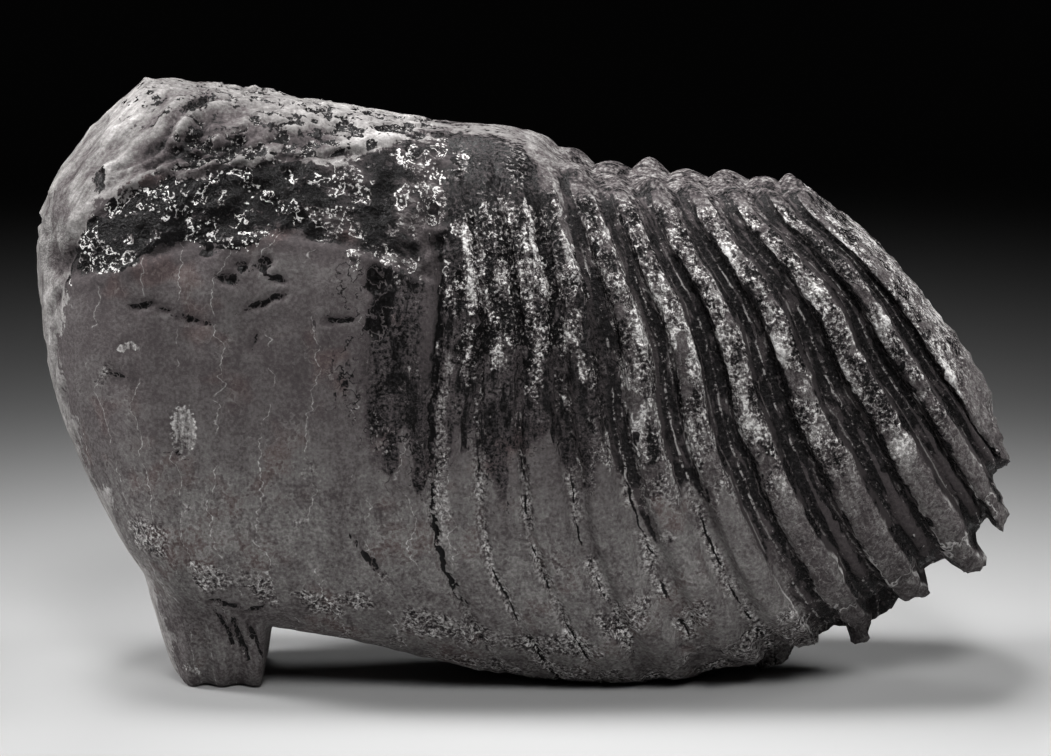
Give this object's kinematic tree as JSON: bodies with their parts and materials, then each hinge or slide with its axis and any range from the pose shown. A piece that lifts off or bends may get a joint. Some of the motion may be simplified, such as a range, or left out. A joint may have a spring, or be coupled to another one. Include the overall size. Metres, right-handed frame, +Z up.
{
  "type": "fossil mammoth tooth",
  "caption": "Fossil mammoth molar: a tall crown of upright ribbed plates with a worn chewing surface, standing on a front root stub and its belly.",
  "frame": {"origin": "centre of the footprint of the tooth's outer box, on the surface that it stands on", "axes": "+X along the crown to the back of the tooth, where the plates fan apart, +Y across the crown, +Z up to the chewing surface"},
  "size_m": [0.2546, 0.087, 0.158],
  "materials": {
    "fossil_enamel": "dark mineralised enamel and cement, half glossy, with pale worn edges"
  },
  "bodies": {
    "root": {"tooth": "fossil_enamel"}
  },
  "joints": []
}
